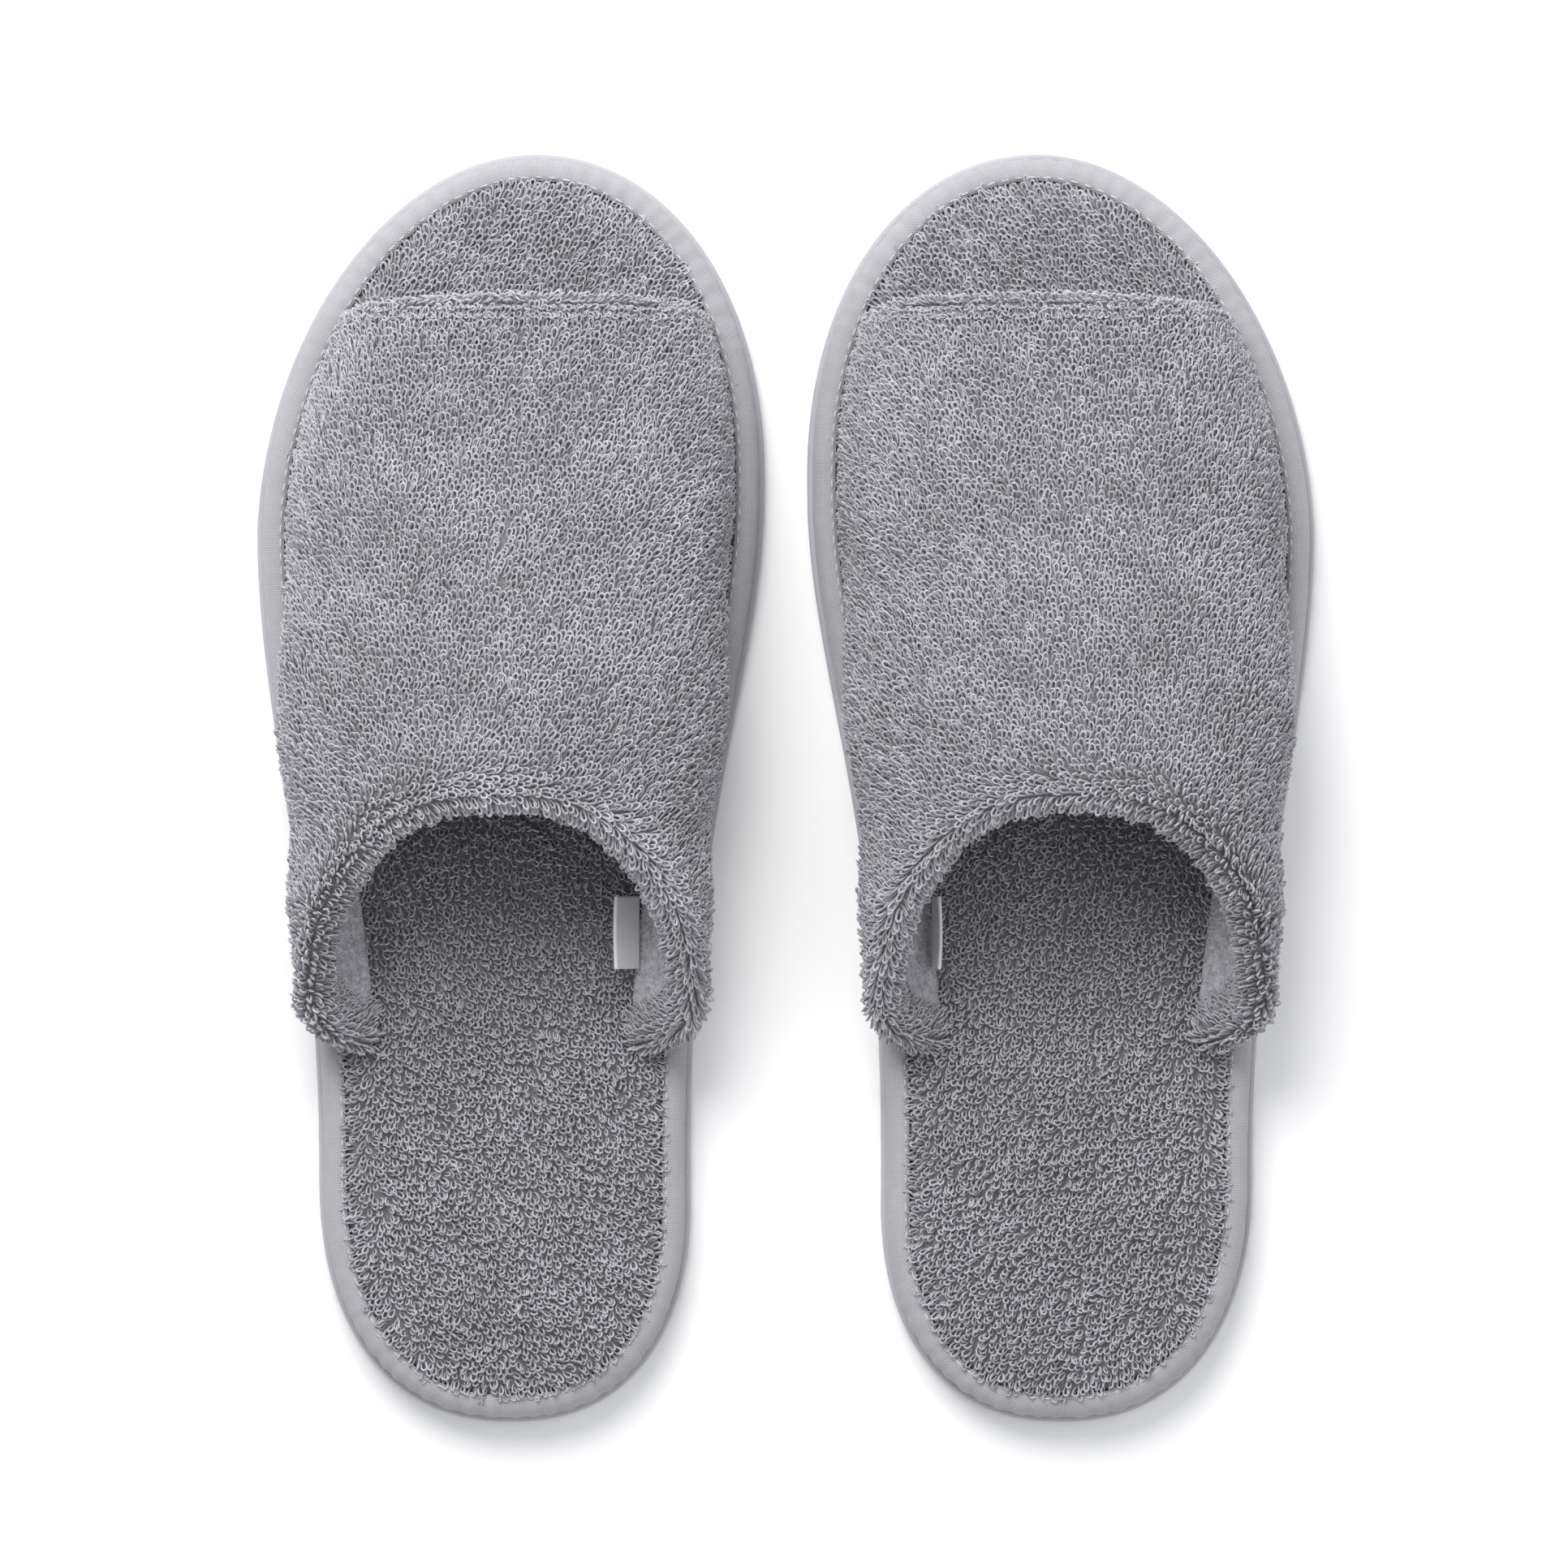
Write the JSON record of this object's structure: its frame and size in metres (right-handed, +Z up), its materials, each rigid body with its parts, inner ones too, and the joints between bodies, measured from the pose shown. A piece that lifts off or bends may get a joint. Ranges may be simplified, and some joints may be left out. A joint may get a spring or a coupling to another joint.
{
  "type": "pair of open-toe terry spa slippers",
  "caption": "Pair of open-toe, open-back terry slippers: a padded loop-pile band over a cushioned footbed with a bound edge on a thin foam sole.",
  "frame": {"origin": "on the floor, midway between the two slippers and midway between heel and toe", "axes": "+X to the right-foot slipper, +Y to the toes, +Z up"},
  "size_m": [0.2336, 0.28, 0.0606],
  "materials": {
    "outsole": "matt moulded foam",
    "board": "pressed fibre board",
    "foam": "open-cell foam",
    "terry": "loop-pile terry",
    "tape": "plain-weave bias tape",
    "thread": "twisted sewing thread",
    "lining": "brushed cloth",
    "label": "twill ribbon"
  },
  "bodies": {
    "left_slipper": {"left_outsole": "outsole", "left_insole_board": "board", "left_footbed_foam": "foam", "left_footbed_cover": "terry", "left_edge_binding": "tape", "left_binding_stitching": "thread", "left_band_shell": "terry", "left_band_padding": "foam", "left_band_lining": "lining"},
    "right_slipper": {"right_outsole": "outsole", "right_insole_board": "board", "right_footbed_foam": "foam", "right_footbed_cover": "terry", "right_edge_binding": "tape", "right_binding_stitching": "thread", "right_band_shell": "terry", "right_band_padding": "foam", "right_band_lining": "lining"},
    "left_label": {"left_care_label": "label"},
    "right_label": {"right_care_label": "label"}
  },
  "joints": [
    {"name": "right_slipper_lift", "type": "slide", "parent": "left_slipper", "child": "right_slipper", "axis": [0, 0, 1], "range_m": [0, 0.2]},
    {"name": "left_label_flip", "type": "hinge", "parent": "left_slipper", "child": "left_label", "pos_m": [-0.03242, -0.03176, 0.0151], "axis": [0, -1, 0], "range_deg": [-22, 28]},
    {"name": "right_label_flip", "type": "hinge", "parent": "right_slipper", "child": "right_label", "pos_m": [0.03242, -0.03176, 0.0151], "axis": [0, 1, 0], "range_deg": [0, 58]}
  ]
}
